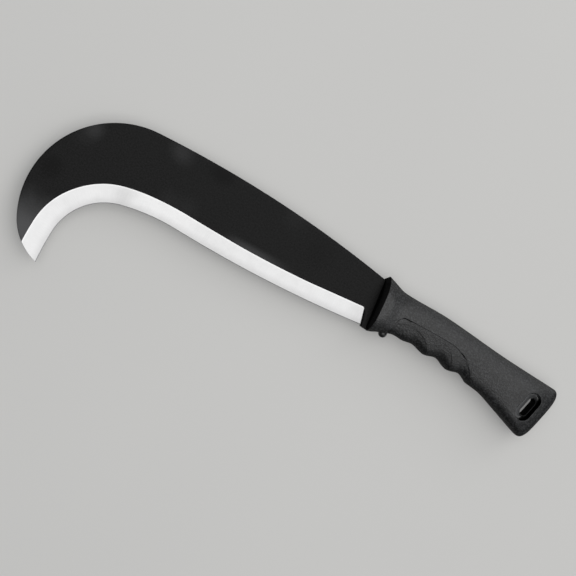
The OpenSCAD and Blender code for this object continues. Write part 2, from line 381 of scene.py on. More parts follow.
def blade_surface(b, mid_z):
    """Rings of points round the blade, from inside the guard to the point, and the distances on them.

    Each ring is a cut across the blade, square to the edge. Its upper half runs from the edge over the bevel,
    whose height grows evenly to half the steel's thickness at the shoulder, then along the flat and over the
    rounded back. The lower half mirrors it. Where the nose cuts through the bevel, the ring ends on the nose.
    """
    half = b.thickness / 2
    back, edge = blade_lines(b)
    back_length = sum(radius * turn for radius, turn in back[2])
    outline, _ = along_arcs(*back, np.linspace(0, back_length, 2200))
    # The edge ends where it meets the nose: a first guess, then steps towards it
    tip = 240.0
    for _ in range(4):
        p, h = along_arcs(*edge, np.array([tip - 3]))
        tip += first_crossing(p, heading_vector(h), outline)[0] - 3

    def bevel(s):
        """Width of the bevel, with a small round corner at the heel."""
        corner = 1.5
        r = np.clip(corner - s, 0, corner)
        w = b.bevel_width + b.bevel_grow * curve(BEVEL_CHANGE, s)
        return w - corner + np.sqrt(corner ** 2 - r ** 2)

    def cut(s):
        """Start, direction and length of the cut at distance s along the edge."""
        p, h = along_arcs(*edge, s)
        into = heading_vector(h - np.pi / 2 + np.radians(10) * np.clip(1 - s / 27, 0, 1))
        return p, into, first_crossing(p, into, outline)

    probe = np.linspace(tip - 40, tip - 0.5, 400)
    leaves = probe[np.argmax(cut(probe)[2] < bevel(probe))]
    s = steps((0, 1.6, 14), (1.6, 30, 32), (30, 138, 110), (138, 232, 170), (232, leaves, 16),
              (leaves, tip - 1, 30), (tip - 1, tip, 8))
    p, into, room = cut(s)
    room[-1] = 0
    w = bevel(s)

    def half_profile(room, w, low):
        """Distances from the edge and heights of the upper half of a cut, for each station."""
        room, w, low = (np.asarray(v, float)[:, None] for v in (room, w, low))

        def fall(d):
            return low + (half - low) * np.minimum(1, d / w)

        nick = np.minimum(np.minimum(b.rounding, 0.7 * low), 0.25 * room)
        edge_top = np.minimum(b.rounding, 0.3 * room)
        flat_end = room - np.minimum(edge_top, 0.7 * fall(room))
        shoulder = np.minimum(w, flat_end)
        rise = np.array([[0.02, 0.06, 0.15, 0.3, 0.5, 0.7, 0.85, 0.94, 0.996, 1.0]])
        run = np.array([[0.0015, 0.08, 0.2, 0.35, 0.5, 0.65, 0.8, 0.92, 1.0]])
        turn = np.radians([[25, 50, 72, 90]])
        round_r = room - flat_end
        d_bevel = nick + (shoulder - nick) * rise
        d_flat = shoulder + (flat_end - shoulder) * run
        d = np.concatenate([0 * room, 0 * room, 0.3 * nick, nick, d_bevel, d_flat,
                            flat_end + round_r * np.sin(turn), room], 1)
        z = np.concatenate([0 * room, low - nick, low - 0.3 * nick, low, fall(d_bevel), fall(d_flat),
                            fall(flat_end) - round_r * (1 - np.cos(turn)), 0 * room], 1)
        return d, z * np.clip(room / 0.8, 0, 1)

    d, z = half_profile(room, w, np.full(len(s), b.edge_thickness / 2))
    plan = p[:, None] + into[:, None] * d[..., None]
    # The ricasso is unground: cuts from below the heel to inside the guard, all at full thickness
    drop, gap = 1.2, [0.1, 0]
    lows = np.array([p[0] - into[0] * drop + gap, [-2.6, -21.1], [1.0, -21.15], [3.0, -18.5], [6.0, -13.0]])
    back_start = along_arcs(*back, np.array([0.0, 4.5]))[0]
    highs = np.array([p[0] + into[0] * room[0] + gap, back_start[1], back_start[0],
                      [-2.0, 15.0], [4.0, 13.5]])
    reach = room[0] + drop
    ricasso_d, ricasso_z = half_profile(np.full(5, reach), np.full(5, w[0] + drop), np.full(5, half))
    ricasso = lows[:, None] + (highs - lows)[:, None] * (ricasso_d / reach)[..., None]
    plan = np.concatenate([ricasso[-1:], ricasso[::-1], plan])
    z = np.concatenate([0 * ricasso_z[:1], ricasso_z[::-1], z])
    far = np.full((6, d.shape[1]), 9.0)
    from_shoulder = np.concatenate([far, d - w[:, None]])
    from_edge = np.concatenate([far, d])
    along = np.concatenate([-np.linspace(14, 0.1, 6), s])[:, None] + 0 * from_edge
    height = both_halves(z, np.negative)
    points = np.concatenate([both_halves(plan), mid_z + height[..., None]], -1)
    return points, both_halves(along), both_halves(from_edge), both_halves(from_shoulder)


# Handle

# Height of the handle's back, station of the guard's rim, ends of the soft grip and start of its hollows
BACK_Y = 16.0
RIM_X = -0.8
PANEL = (11.8, 86.0)
FIRST_FINGER_X = 22.5
# How far ahead of the rim its bow fades out, the lean at both ends of the handle and the rim's bow
FACE_DEPTH = 3.4
RIM_LEAN, BUTT_LEAN, RIM_BOW = -0.185, 0.16, 0.0033
# The side's opening round the lanyard hole: stations, and degrees from the back at its middle station
OPENING_X, OPENING_MID_X, OPENING_DEGREES = (118.5, 138.3), 128.0, (50, 129)
# The lanyard slot: distance from the butt's end, height and lean
SLOT_FROM_END, SLOT_Y, SLOT_LEAN = 15.7, -4.5, np.radians(9)
# Distance along a section for each radian, and the roundings and depth of the seam's groove
MM_PER_RADIAN = 14.0
EDGE_ROUNDING, END_ROUNDING, GROOVE_DEPTH = 0.06, 0.15, 0.4


def handle_lines(s):
    """Knots of the handle's long lines, and the numbers that its sections need, from the sizes."""
    h, g = s.handle, s.grip
    top, belly = BACK_Y + 4.4, BACK_Y - h.grip_height
    butt = h.length + RIM_X
    guard, palm, end = h.guard_thickness / 2, h.palm_thickness / 2, h.butt_thickness / 2
    return SimpleNamespace(
        dome=butt - h.butt_dome, belly_y=belly, mid_z=h.flat_thickness / 2, flat=h.flat_thickness / 2,
        length=h.length, pitch=g.finger_pitch, depth=g.finger_depth, dome_out=h.butt_dome,
        low_full=[[4, 2.4], [10, 2.7], [18, 3.2], [110, 3.3], [124, 3.6], [butt, 3.6]],
        taper=[[118, 1], [125, 0.99], [130, 0.935], [135, 0.84], [140, 0.74], [butt, 0.69]],
        top=[[RIM_X - 4, top + 0.9], [3, BACK_Y + 2.7], [13, BACK_Y + 0.1], [47, BACK_Y + h.back_swell],
             [95, BACK_Y + 0.2], [butt, BACK_Y + 0.6]],
        belly=[[RIM_X, top - h.guard_height], [2, belly - 6.3], [6, belly - 4], [13.5, belly - 0.9],
               [20, belly], [33, belly - 0.8], [43, belly + 0.1], [64, belly - 0.1], [85, belly - 0.8],
               [96, belly - 1.6], [108, belly - 4.5], [butt - 8, BACK_Y + 0.4 - h.butt_height],
               [butt, BACK_Y - 1.4 - h.butt_height]],
        side=[[RIM_X, guard], [4.5, guard - 0.9], [15, h.neck_thickness / 2], [54, palm], [92, palm - 0.6],
              [122, end], [butt, end]],
        seam=[[11.8, -11], [12.5, -8], [13.3, -5.1], [14.1, -3], [15.2, -1.3], [17, 0.2], [20.5, 1],
              [33, g.seam_top - 1.3], [57, g.seam_top], [64, g.seam_top - 1.4], [69, 0.3], [73.5, -1.9],
              [77.4, -5.6], [82, -10.5], [86, -13.5]])


def lean(k, x):
    """How far a section at x leans towards the butt for each millimetre of height."""
    return RIM_LEAN + (BUTT_LEAN - RIM_LEAN) * (x - RIM_X) / k.length


def bow(x, y):
    """How far the guard bows forward at height y: the bow times (y - 5)^2, fading on both sides."""
    away = np.where(x < RIM_X, (RIM_X - x) / FACE_DEPTH, (x - RIM_X) / 12)
    return RIM_BOW * (y - 5) ** 2 * np.maximum(0, 1 - away)


def held(knots, x):
    """The curve through the knots, level beyond both ends."""
    return curve(knots, np.clip(x, knots[0][0], knots[-1][0]))


def section(k, x):
    """Middle height of the section at x, its reach up and down from there, and its finger hollow's depth.

    The three hollows are raised cosines along the belly.
    """
    inside = (x > FIRST_FINGER_X) & (x < FIRST_FINGER_X + 3 * k.pitch)
    dip = np.where(inside, k.depth * (1 - np.cos(2 * np.pi * (x - FIRST_FINGER_X) / k.pitch)) / 2, 0)
    top, base = curve(k.top, x), curve(k.belly, x)
    mid = (top + base) / 2
    return mid, top - mid, mid - base - dip, dip


def fullness(k, x, low):
    """Exponent of the oval at station x: the lower half is fuller behind the guard."""
    return np.where(low, held(k.low_full, x), 2.4)


def flattened(k, x, z, soft=0.3):
    """z held under the side flat with a rounded turn, then narrowed over the butt's end.

    The turn is (|z| + flat - sqrt((|z| - flat)^2 + soft^2)) / 2.
    """
    a = np.abs(z)
    under = np.maximum(0, (a + k.flat - np.sqrt((a - k.flat) ** 2 + soft ** 2)) / 2)
    return np.sign(z) * under * held(k.taper, x)


def side_height(k, x, y):
    """Half thickness of the handle at station x and height y, from the full oval |y|^n + |z|^n = 1."""
    mid, up, down, dip = section(k, x)
    full = fullness(k, x, y < mid)
    c = np.minimum(1, np.abs(y - mid) / np.where(y > mid, up, down)) ** (full / 2)
    pinch = np.where(y > mid, 0, dip * c / 2)
    return flattened(k, x, (curve(k.side, x) - pinch) * (1 - c ** 2) ** (1 / full))


def skin(k, x, a, inset=0.0):
    """Point of the handle's surface at station x and angle a from the back, set in by inset.

    The section is a full oval: y and z are the half sizes times cosine and sine to the power 2 / fullness.
    """
    mid, up, down, dip = section(k, x)
    c, s = np.cos(a), np.sin(a)
    power = 2 / fullness(k, x, c < 0)
    y = mid + (np.where(c > 0, up, down) - inset) * np.sign(c) * np.abs(c) ** power
    z = (curve(k.side, x) - dip * np.maximum(0, -c) / 2 - inset) * np.sign(s) * np.abs(s) ** power
    return np.stack([x + lean(k, x) * y - bow(x, y), y, k.mid_z + flattened(k, x, z)], -1)


def seam_angle(k, x):
    """Angle of the seam at station x, from its height in the section. Off the grip it only spaces points."""
    x0, x1 = PANEL
    near = np.clip(x, x0, x1)
    mid, up, down, _ = section(k, near)
    y = curve(k.seam, near) - mid
    a = np.arccos(np.minimum(1, np.where(y > 0, y / up, -y / down)) ** (fullness(k, near, y < 0) / 2))
    a = np.where(y > 0, a, np.pi - a)
    rest = np.radians(100)
    front = np.clip((x - RIM_X) / (x0 - RIM_X), 0, 1)
    rear = np.clip((x - x1) / 20, 0, 1)
    return np.where(x < x0, rest * (1 - front) + a * front, a * (1 - rear) + rest * rear)


def rounded(t, radius, depth):
    """Inset at distance t from an edge that is rounded by radius and then drops by depth."""
    t = np.clip(t, 0, radius)
    return np.where(t <= 0, depth, radius - np.sqrt(np.maximum(0, radius ** 2 - (radius - t) ** 2)))


def slot_path(lanyard, angles):
    """The slot's spine and outward normals in these directions, before it is turned to lean with the butt.

    A direction meets the straight side or the round end of the slot. The point there is the nearest point of
    the spine plus the radius times the normal.
    """
    run, radius = lanyard.slot_run / 2, lanyard.recess_radius
    c, s = np.cos(angles), np.sin(angles)
    straight = np.abs(radius * s / np.where(np.abs(c) < 1e-9, 1e-9, c)) <= run
    reach = np.where(straight, radius / np.maximum(np.abs(c), 1e-9),
                     run * np.abs(s) + np.sqrt(np.maximum(0, radius ** 2 - (run * c) ** 2)))
    point = np.stack([c, s], -1) * reach[:, None]
    spine = np.clip(point, [0, -run], [0, run])
    return spine, (point - spine) / radius


def slot_frame(k):
    """Centre of the slot, and the turn of its long axis."""
    return np.array([k.length - SLOT_FROM_END, SLOT_Y]), -SLOT_LEAN


def turned(v, a):
    """Plan vectors turned by the angle a."""
    c, s = np.cos(a), np.sin(a)
    return np.stack([v[..., 0] * c - v[..., 1] * s, v[..., 0] * s + v[..., 1] * c], -1)


def station_of(k, plan):
    """Station x of the section through a plan point X, Y: X = x + lean(x) * Y, solved for x."""
    rate = (BUTT_LEAN - RIM_LEAN) / k.length
    return (plan[..., 0] - plan[..., 1] * (RIM_LEAN - rate * RIM_X)) / (1 + rate * plan[..., 1])


def handle_surface(k, lanyard, grip):
    """Points, quads and masks of the moulded handle.

    A loft of full ovals from the guard to the butt, set in under the soft grip. Its side is open round the
    lanyard hole. There, layers of points run from the edge of the opening to the rim of the recess, down its
    tapered wall to the floor and through the sleeve's hole to the other side.
    """
    x0, x1 = PANEL
    x = steps((RIM_X + 0.3, 2, 8), (2, x0 - 0.5, 30), (x0 - 0.5, x0 - 0.01, 7), (x0, x0 + 0.01, 2),
              (x0 + 0.01, 20, 20), (20, x1 - 1, 90), (x1 - 1, x1, 6), (x1, x1 + 0.6, 8), (x1 + 0.6, 118, 44),
              (118, k.dome, 48))
    seam = seam_angle(k, x)[:, None]
    near = np.radians([5, 3, 2, 1.3, 0.8, 0.4, 0.0])
    upper = np.concatenate([np.linspace(0, 1, 30)[:-1] * (seam - near[0]), seam - near], 1)
    lower = seam + np.linspace(0, 1, 34) * (np.pi - seam)
    on_panel = ((x > x0) & (x < x1))[:, None]
    out = np.maximum(0, np.maximum(x0 - x, x - x1))[:, None]
    groove = rounded((seam - upper) * MM_PER_RADIAN, EDGE_ROUNDING, GROOVE_DEPTH)
    inset_up = np.where(on_panel, groove, 0)
    inset_low = np.where(on_panel, grip.thickness, rounded(out, END_ROUNDING, GROOVE_DEPTH)) + 0 * lower
    half_angles = np.concatenate([upper, lower], 1)
    angles = both_halves(half_angles, lambda a: 2 * np.pi - a)
    body = skin(k, x[:, None], angles, both_halves(np.concatenate([inset_up, inset_low], 1)))
    columns = angles.shape[1]

    # The guard's face: a crisp rounded rim, a shallow cone and a flat, closed on the middle plane
    # Each step is a distance from the rim along the handle and how far the ring is set in
    rim_steps = ((0.14, 0.03), (0.05, 0.12), (0, 0.3), (-0.6, 1.0), (-1.8, 2.4), (-3.0, 3.9))
    face = [skin(k, np.full(columns, RIM_X + d), angles[0], inset) for d, inset in rim_steps]
    for share, d in ((0.75, -0.2), (0.5, -0.3), (0.25, -0.35), (0.0, -0.4)):
        ring = face[len(rim_steps) - 1] + [d, 0, 0]
        ring[:, 2] = k.mid_z + (ring[:, 2] - k.mid_z) * share
        face.append(ring)
    # The butt's end: rings pulled in as the end rounds over, then closed on the middle plane
    dome = [skin(k, np.full(columns, k.dome + k.dome_out * np.sin(a) ** 0.9), angles[-1],
                 12 * (1 - np.cos(a) ** 0.9)) for a in np.radians(range(10, 91, 10))]
    last = dome[-1] * [1, 1, 0] + [0, 0, k.mid_z]
    rings = np.concatenate([face[::-1], body, dome, last[None]])
    front = len(face)
    on_face = np.zeros(rings.shape[:2])
    # These rings of the guard's face get the near-black painted shade
    on_face[:front - 2] = 1
    points = rings.reshape(-1, 3)

    # The opening round the lanyard hole, the same block of the grid on both sides
    i0, i1 = front + np.searchsorted(x, OPENING_X)
    j0, j1 = np.searchsorted(half_angles[np.searchsorted(x, OPENING_MID_X)], np.radians(OPENING_DEGREES))
    quads = ring_quads(len(rings), columns).reshape(len(rings) - 1, columns, 4)
    keep = np.ones(quads.shape[:2], bool)
    keep[i0:i1, j0:j1] = False
    keep[i0:i1, columns - j1:columns - j0] = False
    high, wide = i1 - i0, j1 - j0
    ii = np.concatenate([np.arange(i0, i1), np.full(wide, i1), np.arange(i1, i0, -1), np.full(wide, i0)])
    jj = np.concatenate([np.full(high, j0), np.arange(j0, j1), np.full(high, j1), np.arange(j1, j0, -1)])
    near_side, far_side = ii * columns + jj, ii * columns + (columns - jj)
    centre, turn = slot_frame(k)
    border = points[near_side, :2]
    local = turned(border - centre, -turn) + [lanyard.recess_shift, 0]
    spine, normal = slot_path(lanyard, np.arctan2(local[:, 1], local[:, 0]))

    def at(radius, shift=0.0, more=0.0):
        """Plan points round the slot at this radius, on an outline shifted to the guard and made longer."""
        longer = spine * (1 + more / lanyard.slot_run)
        return centre + turned(longer + radius * normal - [shift, 0], turn)

    mouth = (lanyard.recess_shift, lanyard.recess_more)
    bottom = (lanyard.floor_shift, lanyard.floor_more)
    lip, foot, floor_z = 0.4, 0.3, lanyard.sleeve_length / 2 - 0.15
    rim = at(lanyard.recess_radius + lip * 0.8, *mouth)
    layers = []
    for share in np.linspace(0, 1, 9)[1:]:
        plan = border + (rim - border) * share
        layers.append((plan, side_height(k, station_of(k, plan), plan[:, 1])))
    rim_z = layers[-1][1]
    lip_layer = len(layers) + 3
    for a in np.radians([18, 36, 54, 72]):
        plan = at(lanyard.recess_radius + lip * 0.8 * (1 - np.sin(a)), *mouth)
        layers.append((plan, rim_z - lip * (1 - np.cos(a))))
    wall_top, wall_drop = rim_z - lip, floor_z + foot - (rim_z - lip)
    wall_head, wall_foot = at(lanyard.recess_radius, *mouth), at(lanyard.floor_radius + foot * 0.4, *bottom)
    for share in (0, 0.3, 0.6, 1.0):
        layers.append((wall_head + (wall_foot - wall_head) * share, wall_top + wall_drop * share))
    for a in np.radians([30, 60, 90]):
        plan = at(lanyard.floor_radius + foot * (np.cos(a) - 0.6), *bottom)
        layers.append((plan, floor_z + foot * (1 - np.sin(a)) + 0 * rim_z))
    floor_layer = len(layers) - 2
    hole = at(lanyard.slot_width / 2 + lanyard.wall - 0.08)
    layers += [(hole, floor_z + 0 * rim_z), (hole, floor_z - 1.0 + 0 * rim_z)]
    tube = [np.column_stack([plan, k.mid_z + side * z])
            for side, part in ((1, layers), (-1, layers[::-1])) for plan, z in part]
    count = len(rim)
    tube_index = np.concatenate([near_side, len(points) + np.arange(len(tube) * count), far_side])
    tube_quads = tube_index[ring_quads(len(tube) + 2, count)]
    in_recess = np.zeros((len(tube), count))
    in_recess[lip_layer:-lip_layer] = 1
    # Painted light and shade in the recess: how much each point faces the light, from its normal round the
    # slot. The recess material lightens these points and paints the rest deep black as shade.
    on_wall = np.clip(0.35 - 0.9 * normal[:, 0] + 0.45 * normal[:, 1], 0, 1)
    on_floor = np.clip(0.62 - 0.85 * normal[:, 0] + 0.2 * normal[:, 1], 0, 1)
    share = np.where(np.arange(len(layers))[:, None] < floor_layer, on_wall, on_floor)
    lit_side_share = np.concatenate([share, share[::-1]]) * in_recess
    masks = {"guard_face": np.append(on_face, 0 * in_recess), "recess": np.append(0 * on_face, in_recess),
             "lit_side_share": np.append(0 * on_face, lit_side_share)}
    return np.concatenate([points, *tube]), np.concatenate([quads[keep], tube_quads]), masks


# The scoops: X of the middle, half the length and half the height of each ellipse, and their middle height
SCOOPS = ((27.2, 17.0, 12.5), (47.6, 17.0, 15.7), (68.5, 13.5, 14.0))
SCOOP_Y = -14


def scoop_relief(plan):
    """Depth of the three scoops that the fingers' sides lie in.

    A scoop is an ellipse on the side of the grip, cut off by the one ahead of it. Its depth rises by a small
    step at its edge, which shows as a crease, and fades towards its middle.
    """
    x, y = plan[..., 0], plan[..., 1]
    depth = 0 * x
    ahead = np.clip((x - 13) / 5, 0, 1)
    for centre_x, half_length, half_height in SCOOPS:
        q = np.hypot((x - centre_x) / half_length, (y - SCOOP_Y) / half_height)
        inside = np.clip((1 - q) / 0.05, 0, 1)
        step = inside * inside * (3 - 2 * inside)
        broad = np.clip(1 - q, 0, 1)
        scoop = 0.22 * np.exp(-broad / 0.3) + 0.35 * np.minimum(1, broad / 0.4)
        depth = np.maximum(depth, ahead * step * scoop)
        ahead = np.clip((q - 1) / 0.35, 0, 1)
    return depth


def grip_surface(k, grip):
    """Rings of the soft finger grip: its outer face between the seams, edges rounded, then its inner face."""
    x0, x1 = PANEL
    gap = grip.seam_width / 2
    front, rear = x0 + grip.front_width, x1 - gap
    x = steps((front, x0 + 1, 10), (x0 + 1, 20, 24), (20, x1 - 8, 170), (x1 - 8, x1 - 0.5, 24),
              (x1 - 0.5, rear, 8))
    steep = np.gradient(curve(k.seam, x), x)
    # The groove keeps its width where the seam is steep, and is wider where it rises behind the guard
    gap = gap * np.sqrt(1 + steep ** 2) * (1 + 2 * np.clip((15.6 - x) / 1.2, 0, 1))
    begin = (seam_angle(k, x) + gap / MM_PER_RADIAN)[:, None]
    near = np.array([0, 0.02, 0.05, 0.12, 0.25, 0.5, 0.9]) / MM_PER_RADIAN
    span = np.pi - begin - near[-1]
    half = np.concatenate([begin + near[:-1], begin + near[-1] + np.linspace(0, 1, 60) * span], 1)
    outer = np.concatenate([half, 2 * np.pi - half[:, -2::-1]], 1)
    from_seam = np.minimum(outer - begin, 2 * np.pi - begin - outer) * MM_PER_RADIAN
    from_end = np.minimum(x - front, rear - x)[:, None]
    inset = np.maximum(rounded(from_seam, EDGE_ROUNDING, grip.thickness),
                       rounded(from_end, END_ROUNDING, grip.thickness))
    relief = scoop_relief(skin(k, x[:, None], outer)) * np.clip(from_seam / 1.5, 0, 1)
    inset = np.minimum(inset + np.where(inset < grip.thickness, relief, 0), grip.thickness)
    return np.concatenate([skin(k, x[:, None], outer, inset),
                           skin(k, x[:, None], outer[:, ::-1], grip.thickness)], 1)


def sleeve_surface(k, lanyard):
    """The sleeve's wall profile, its rims rounded, carried round the slot, and the slot's normals."""
    outer, inner = lanyard.slot_width / 2 + lanyard.wall, lanyard.slot_width / 2
    half, r = lanyard.sleeve_length / 2, 0.3
    t = np.radians(np.arange(0, 91, 18))
    turn_out = np.stack([outer - r + r * np.cos(t), half - r + r * np.sin(t)], 1)
    turn_in = np.stack([inner + r - r * np.sin(t), half - r + r * np.cos(t)], 1)
    side = np.concatenate([turn_out, turn_in])
    profile = np.concatenate([side, side[::-1] * [1, -1]])
    centre, turn = slot_frame(k)
    spine, normal = slot_path(lanyard, np.linspace(0, 2 * np.pi, 160, endpoint=False))
    plan = centre + turned(spine[:, None] + profile[None, :, :1] * normal[:, None], turn)
    height = np.broadcast_to(k.mid_z + profile[:, 1], plan.shape[:2])
    return np.concatenate([plan, height[..., None]], -1), normal


def stop_surface(k, radius):
    """The small stop under the guard: a ball on a flared foot, turned about an axis down the belly."""
    t = np.radians(np.linspace(0, 115, 18))
    ball = np.stack([radius * np.sin(t), -radius * np.cos(t)], 1)
    u = np.linspace(0, 1, 9)[1:, None]
    flare = ball[-1] + np.hstack([2.2 * u ** 2.2, 2.4 * u])
    out, down = np.concatenate([ball, flare, [[0.0, flare[-1, 1]]]]).T[..., None]
    a = np.linspace(0, 2 * np.pi, 48, endpoint=False)
    stop_x, stop_y = 12.2, k.belly_y - 2.8
    return np.stack([stop_x + out * np.cos(a), stop_y + down + 0 * a, k.mid_z + out * np.sin(a)], -1)


# Materials

class Value:
    """What comes out of a shader node. Each step of arithmetic on it adds a node."""

    def __init__(self, socket):
        self.socket = socket
        self.tree = socket.id_data

    def step(self, operation, a, b):
        return add(self.tree, "Math", {0: a, 1: b}, operation=operation)

    def __add__(self, other):
        return self.step("ADD", self, other)

    def __sub__(self, other):
        return self.step("SUBTRACT", self, other)

    def __rsub__(self, other):
        return self.step("SUBTRACT", other, self)

    def __mul__(self, other):
        return self.step("MULTIPLY", self, other)

    def __truediv__(self, other):
        return self.step("DIVIDE", self, other)

    def at_least(self, low):
        """The value, or low where it is less."""
        return self.step("MAXIMUM", self, low)

    def ramp(self, low, high, to_low=0.0, to_high=1.0):
        """A smooth rise from to_low to to_high as the value goes from low to high."""
        return add(self.tree, "MapRange", {
            "Value": self, "From Min": low, "From Max": high, "To Min": to_low, "To Max": to_high,
        }, "Result", interpolation_type="SMOOTHSTEP")

    def noise(self, scale, detail=2.0, roughness=0.5):
        """Noise of this scale at this place."""
        return add(self.tree, "TexNoise", {
            "Vector": self, "Scale": scale, "Detail": detail, "Roughness": roughness}, "Fac")

    def between(self, a, b, kind="RGBA"):
        """a where the value is 0 and b where it is 1, mixed in between."""
        first, output = (6, 2) if kind == "RGBA" else (2, 0)
        return add(self.tree, "Mix", {0: self, first: a, first + 1: b}, output, data_type=kind)

    def scaled(self, tint):
        """A colour times the value."""
        return add(self.tree, "VectorMath", {0: tint, "Scale": self}, operation="SCALE")

    def beside(self, output):
        """Another output of the same node."""
        return Value(self.socket.node.outputs[output])


def plug(node, inputs):
    """Set a node's inputs, each from a number or colour or by a link from a value."""
    for key, value in inputs.items():
        if isinstance(value, Value):
            node.id_data.links.new(value.socket, node.inputs[key])
        else:
            node.inputs[key].default_value = value


def add(tree, kind, inputs=None, output=0, **options):
    """One output of a new shader node that has these options and inputs."""
    node = tree.nodes.new("ShaderNode" + kind)
    for key, value in options.items():
        setattr(node, key, value)
    plug(node, inputs or {})
    return Value(node.outputs[output])


def attribute(tree, key):
    """A number stored on the mesh."""
    return add(tree, "Attribute", output="Fac", attribute_name=key)


def new_group(name, inputs, outputs):
    """A shader node group with named sockets, the values that come in and the node that they leave by."""
    clear(bpy.data.node_groups, name)
    group = bpy.data.node_groups.new(name, "ShaderNodeTree")
    for way, sockets in (("INPUT", inputs), ("OUTPUT", outputs)):
        for label, kind in sockets:
            group.interface.new_socket(name=label, in_out=way, socket_type="NodeSocket" + kind)
    enter = group.nodes.new("NodeGroupInput")
    return group, [Value(enter.outputs[label]) for label, _ in inputs], group.nodes.new("NodeGroupOutput")


def moulded_grain_group():
    """Fine grain of a moulded surface: a mottled colour, a roughness and a height."""
    group, (place, tint, grains, mottle, roughness), leave = new_group(
        "Moulded grain",
        (("Place", "Vector"), ("Colour", "Color"), ("Grain per metre", "Float"), ("Mottle", "Float"),
         ("Roughness", "Float")),
        (("Colour", "Color"), ("Roughness", "Float"), ("Height", "Float")))
    fine = place.noise(grains, 2.0, 0.65)
    haze = place.noise(45.0, 3.0, 0.55) - 0.5
    darkest = 0.35
    lift = (((fine - 0.5) * 12.0 + haze * 1.5) * mottle + 1.0).at_least(darkest)
    plug(leave, {"Colour": lift.scaled(tint), "Roughness": roughness + haze * 0.12, "Height": fine})
    return group


def soft_spot_group():
    """A soft round patch: 1 at its middle, fading to 0 at its radius, broken up a little by noise."""
    group, (place, middle, radius), leave = new_group(
        "Soft spot", (("Place", "Vector"), ("Middle", "Vector"), ("Radius", "Float")), (("Mask", "Float"),))
    gap = add(group, "VectorMath", {0: place, 1: middle}, "Value", operation="DISTANCE")
    share = gap / radius + (place.noise(60.0, 3.0) - 0.5) * 0.3
    plug(leave, {"Mask": share.ramp(1.0, 0.0)})
    return group


def new_material(name):
    """A material, its node tree, its shader and its object coordinates."""
    clear(bpy.data.materials, name)
    material = bpy.data.materials.new(name)
    material.use_nodes = True
    tree = material.node_tree
    return material, tree, tree.nodes["Principled BSDF"], add(tree, "TexCoord", output="Object")


# Patches of the coating: X and Y of the middle, the radius (all in metres) and how much lighter it is
COAT_PATCHES = (
    (-0.2372, -0.0905, 0.034, 17.0), (-0.2324, -0.0058, 0.010, 3.6), (-0.2359, -0.0121, 0.012, 1.5),
    (-0.1777, 0.0132, 0.011, 2.6), (-0.1717, 0.0117, 0.011, 2.4), (-0.1650, -0.0197, 0.012, 1.2),
    (-0.1515, -0.0179, 0.012, 1.2), (-0.0842, 0.0184, 0.014, 1.0), (-0.2441, -0.0436, 0.012, -1.1),
    (-0.1410, 0.0159, 0.011, -1.1), (-0.1474, 0.0150, 0.011, -0.8), (-0.0580, 0.0054, 0.018, -0.4))
UPPER_FACE_Z = 0.0145


def blade_material(f):
    """Baked black coating, and bright ground steel below the shoulder line."""
    material, tree, shader, place = new_material("Coated and ground steel")
    from_shoulder = attribute(tree, "from_shoulder")
    from_edge = attribute(tree, "from_edge")
    along = attribute(tree, "along")
    ground = from_shoulder.step("LESS_THAN", from_shoulder, 0.0)
    cloud = place.noise(22.0, 4.0, 0.55)
    fine = place.noise(900.0, 2.0, 0.6)
    spots = soft_spot_group()

    def spot(x, y, radius):
        """Mask of a soft patch on the blade's upper face."""
        return add(tree, "Group", {"Place": place, "Middle": (x, y, UPPER_FACE_Z), "Radius": radius}, "Mask",
                   node_tree=spots)

    # The coating: soft clouds, patches, and a greyer haze beside part of the shoulder
    shade = cloud.ramp(0.3, 0.7, 0.75, 1.25) + (fine - 0.5) * 4.5
    for x, y, radius, strength in COAT_PATCHES:
        shade += spot(x, y, radius) * strength
    shade += along.ramp(0.055, 0.092) * along.ramp(0.118, 0.098) * from_shoulder.ramp(0.0065, 0.001, 0.0, 7.5)
    coat = shade.at_least(0.0).scaled(f.coating)
    # The bevel: fine marks of the wheel across it, faint smudges, a painted highlight along the shoulder and
    # a thin darker line along the edge
    marks = add(tree, "CombineXYZ", {0: along * 2600.0, 1: from_edge * 90.0}).noise(1.0, 3.0, 0.6)
    tone = marks.ramp(0.25, 0.75, 0.94, 1.02) + place.noise(130.0, 3.0, 0.6).ramp(0.35, 0.8, 0.0, -0.05)
    tone += along.ramp(0.125, 0.15, 0.0, 0.06) * along.ramp(0.188, 0.165)
    tone -= spot(-0.1925, -0.0344, 0.011) * 0.13
    tone *= from_edge.ramp(0.0, 0.006, 0.86, 1.02)
    tone *= along.ramp(0.0, 0.018, 0.91, 1.0)
    tone *= along.ramp(0.2, 0.225, 1.0, 0.95)
    # Painted highlight: a thin line along the shoulder, mixed towards white
    shoulder = from_shoulder.ramp(-0.0012, -0.0004) * 0.15
    # A thin darker line along the very edge
    dark_edge_line = from_edge.ramp(0.0006, 0.0002) * 0.8
    steel = shoulder.between(tone.scaled(f.bare_steel), (1.0, 1.0, 1.0, 1))
    steel = dark_edge_line.between(steel, (0.10, 0.10, 0.105, 1))
    height = ground.between(fine, marks * 0.35, "FLOAT")
    rough = ground.between(cloud.ramp(0.3, 0.7, 0.42, 0.5), marks.ramp(0.2, 0.8, 0.30, 0.40), "FLOAT")
    plug(shader, {
        "Base Color": ground.between(coat, steel), "Metallic": ground, "Specular IOR Level": 0.12,
        "Roughness": rough,
        "Normal": add(tree, "Bump", {"Strength": 0.25, "Distance": 0.00005, "Height": height})})
    return material


